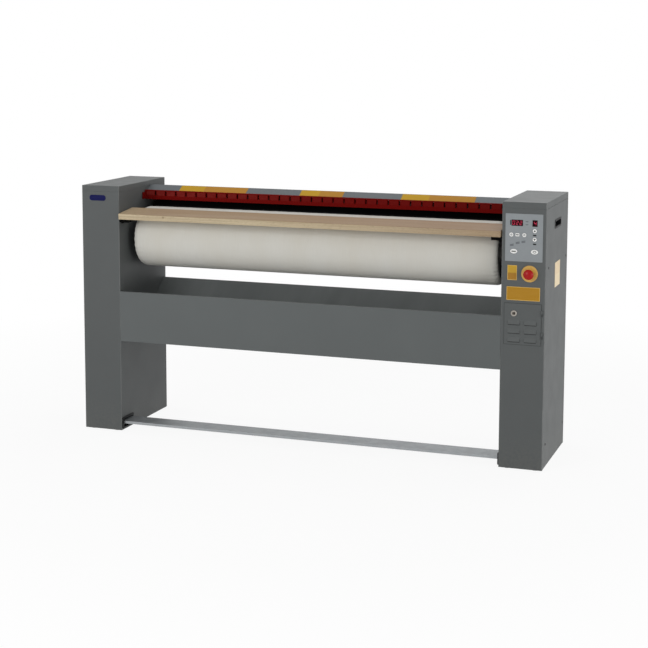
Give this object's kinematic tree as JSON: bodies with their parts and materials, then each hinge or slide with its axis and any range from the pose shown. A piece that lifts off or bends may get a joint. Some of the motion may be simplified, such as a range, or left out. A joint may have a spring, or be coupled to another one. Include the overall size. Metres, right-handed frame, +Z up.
{
  "type": "flatwork ironer",
  "caption": "Free-standing flatwork ironer: a padded roller and a hinged heated bed between two columns, with a feed board, finger guard, linen tray and foot pedal bar.",
  "frame": {"origin": "on the floor, under the middle of the outer box", "axes": "+X along the roller towards the control column, +Y towards the back, +Z up"},
  "size_m": [2.0032, 0.506, 1.06],
  "materials": {
    "grey_enamel": "satin",
    "zinc_steel": "zinc plated",
    "bright_steel": "machined",
    "cast_grey": "painted casting",
    "motor_paint": "satin",
    "black_rubber": "matt",
    "black_plastic": "moulded",
    "roller_cloth": "woven",
    "padding": "felt",
    "mineral_wool": "fibrous",
    "beech": "oiled",
    "guard_red": "satin",
    "polished_aluminium": "polished",
    "brushed_aluminium": "brushed",
    "panel_silver": "satin film",
    "display_black": "gloss",
    "circuit_green": "solder mask",
    "key_white": "moulded",
    "stop_yellow": "moulded",
    "stop_red": "moulded",
    "lock_chrome": "polished",
    "label_yellow": "printed film, blank"
  },
  "bodies": {
    "stand": {"left_column_shell": "grey_enamel", "right_column_shell": "grey_enamel", "left_top_cap": "grey_enamel", "right_top_cap": "grey_enamel", "left_side_panel": "grey_enamel", "right_side_panel": "grey_enamel", "left_side_frame": "zinc_steel", "right_side_frame": "zinc_steel", "base_plates": "zinc_steel", "foot_pads": "black_rubber", "side_panel_screws": "bright_steel", "side_grip": "black_plastic", "roller_bearings": "cast_grey", "drive_chain": "bright_steel", "gear_motor": "motor_paint", "bed_motor": "motor_paint", "linen_tray": "grey_enamel", "top_cover": "grey_enamel", "rear_cover": "grey_enamel", "feed_board": "beech", "board_brackets": "black_plastic", "guard_rod": "bright_steel", "pedal_springs": "bright_steel", "pedal_guides": "black_plastic", "control_plate": "panel_silver", "display_windows": "display_black", "control_board": "circuit_green", "estop_ring": "stop_yellow", "switch_blocks": "black_plastic", "label_plates": "label_yellow", "cable_gland": "black_plastic", "contactor_plate": "black_plastic"},
    "roller": {"roller_drum": "bright_steel", "roller_padding": "padding", "roller_cloth": "roller_cloth", "left_journal": "bright_steel", "right_journal": "bright_steel", "roller_sprocket": "bright_steel"},
    "motor_output": {"motor_sprocket": "bright_steel"},
    "bed": {"heated_bed": "polished_aluminium", "bed_heaters": "bright_steel", "bed_insulation": "mineral_wool", "bed_casing": "zinc_steel", "bed_shafts": "bright_steel"},
    "bed_link": {"bed_link": "bright_steel"},
    "bed_crank": {"bed_crank": "bright_steel"},
    "guard": {"finger_guard": "guard_red"},
    "pedal": {"pedal_bar": "brushed_aluminium", "pedal_arms": "zinc_steel"},
    "stop_stem": {"estop_stem": "black_plastic"},
    "stop_head": {"estop_head": "stop_red"},
    "door": {"access_door": "grey_enamel"},
    "lock": {"door_lock": "lock_chrome"},
    "menu_key": {"menu_key": "key_white"},
    "enter_key": {"enter_key": "key_white"},
    "speed_up_key": {"speed_up_key": "key_white"},
    "speed_down_key": {"speed_down_key": "key_white"},
    "select_key": {"select_key": "key_white"},
    "start_key": {"start_key": "key_white"},
    "stop_key": {"stop_key": "key_white"}
  },
  "joints": [
    {"name": "roller_turn", "type": "hinge", "parent": "stand", "child": "roller", "pos_m": [0, -0.027, 0.829], "axis": [-1, 0, 0], "continuous": true},
    {"name": "motor_turn", "type": "hinge", "parent": "stand", "child": "motor_output", "pos_m": [0.945, -0.027, 0.56], "axis": [-1, 0, 0], "continuous": true},
    {"name": "bed_swing", "type": "hinge", "parent": "stand", "child": "bed", "pos_m": [0, 0.065, 0.712], "axis": [1, 0, 0], "range_deg": [0, 4.5]},
    {"name": "link_swing", "type": "hinge", "parent": "bed", "child": "bed_link", "pos_m": [-0.845, -0.05491, 0.71671], "axis": [1, 0, 0], "range_deg": [-4.5, 0]},
    {"name": "crank_turn", "type": "hinge", "parent": "stand", "child": "bed_crank", "pos_m": [-0.854, -0.03753, 0.522], "axis": [1, 0, 0], "range_deg": [0, 30.4]},
    {"name": "guard_swing", "type": "hinge", "parent": "stand", "child": "guard", "pos_m": [0, 0.034, 1.013], "axis": [1, 0, 0], "range_deg": [0, 10], "stiffness_Nm_per_rad": 0.8, "springref_deg": -34.38},
    {"name": "pedal_press", "type": "hinge", "parent": "stand", "child": "pedal", "pos_m": [0, 0.12, 0.06], "axis": [1, 0, 0], "range_deg": [0, 2.2], "stiffness_Nm_per_rad": 40, "springref_deg": -17.19, "deforming": ["pedal_springs"]},
    {"name": "stop_push", "type": "slide", "parent": "stand", "child": "stop_stem", "axis": [0, 1, 0], "range_m": [0, 0.004]},
    {"name": "stop_twist", "type": "hinge", "parent": "stop_stem", "child": "stop_head", "pos_m": [0.937, -0.22, 0.782], "axis": [0, 1, 0], "range_deg": [0, 30], "stiffness_Nm_per_rad": 0.05, "springref_deg": -11.46},
    {"name": "door_swing", "type": "hinge", "parent": "stand", "child": "door", "pos_m": [0.9885, -0.223, 0.584], "axis": [0, 0, 1], "range_deg": [0, 110]},
    {"name": "lock_turn", "type": "hinge", "parent": "door", "child": "lock", "pos_m": [0.8785, -0.22, 0.624], "axis": [0, 1, 0], "range_deg": [0, 90]},
    {"name": "menu_key_press", "type": "slide", "parent": "stand", "child": "menu_key", "axis": [0, 1, 0], "range_m": [0, 0.0005], "stiffness_N_per_m": 600, "springref_m": -0.0006},
    {"name": "enter_key_press", "type": "slide", "parent": "stand", "child": "enter_key", "axis": [0, 1, 0], "range_m": [0, 0.0005], "stiffness_N_per_m": 600, "springref_m": -0.0006},
    {"name": "speed_up_key_press", "type": "slide", "parent": "stand", "child": "speed_up_key", "axis": [0, 1, 0], "range_m": [0, 0.0005], "stiffness_N_per_m": 600, "springref_m": -0.0006},
    {"name": "speed_down_key_press", "type": "slide", "parent": "stand", "child": "speed_down_key", "axis": [0, 1, 0], "range_m": [0, 0.0005], "stiffness_N_per_m": 600, "springref_m": -0.0006},
    {"name": "select_key_press", "type": "slide", "parent": "stand", "child": "select_key", "axis": [0, 1, 0], "range_m": [0, 0.0005], "stiffness_N_per_m": 600, "springref_m": -0.0006},
    {"name": "start_key_press", "type": "slide", "parent": "stand", "child": "start_key", "axis": [0, 1, 0], "range_m": [0, 0.0005], "stiffness_N_per_m": 600, "springref_m": -0.0006},
    {"name": "stop_key_press", "type": "slide", "parent": "stand", "child": "stop_key", "axis": [0, 1, 0], "range_m": [0, 0.0005], "stiffness_N_per_m": 600, "springref_m": -0.0006}
  ],
  "couplings": [
    {"joint": "motor_turn", "follows": "roller_turn", "ratio": 3.8},
    {"joint": "link_swing", "follows": "bed_swing", "ratio": -1},
    {"joint": "crank_turn", "follows": "bed_swing", "ratio": 6.7435}
  ]
}
